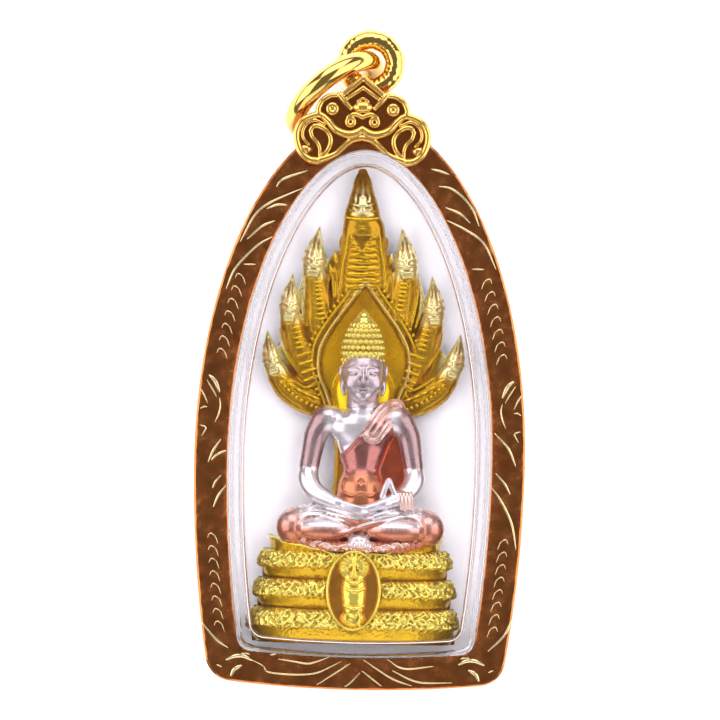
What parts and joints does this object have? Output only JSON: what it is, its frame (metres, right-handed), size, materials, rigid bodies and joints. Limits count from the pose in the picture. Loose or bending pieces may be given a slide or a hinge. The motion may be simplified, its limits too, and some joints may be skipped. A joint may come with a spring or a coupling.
{
  "type": "naga buddha amulet pendant",
  "caption": "Cast Buddha seated on naga coils under a seven-headed hood, sealed in a clear domed case in an engraved gold band with crest and ring.",
  "frame": {"origin": "middle of the flat back of the case, at the height where the band is widest", "axes": "lying on its back: +X to the figure's left hand, +Y along the pendant towards its rings, +Z out of the domed front"},
  "size_m": [0.033, 0.0661, 0.0144],
  "materials": {
    "cast_gold": "gold-plated casting, bright on the carving, the niche a deeper amber",
    "cast_silver": "silver-plated skin of the figure",
    "cast_copper": "rose copper plating of the robe",
    "clear_case": "clear polished acrylic, see-through, faint cool tint",
    "band_gold": "polished red-brown gold band with bright engraved strokes",
    "polished_gold": "bright polished yellow gold plating"
  },
  "bodies": {
    "root": {"naga_buddha": "cast_gold", "case_front": "clear_case", "case_back": "clear_case", "frame": "band_gold", "crest": "polished_gold", "hanging_loop": "polished_gold", "jump_ring": "polished_gold"}
  },
  "joints": []
}
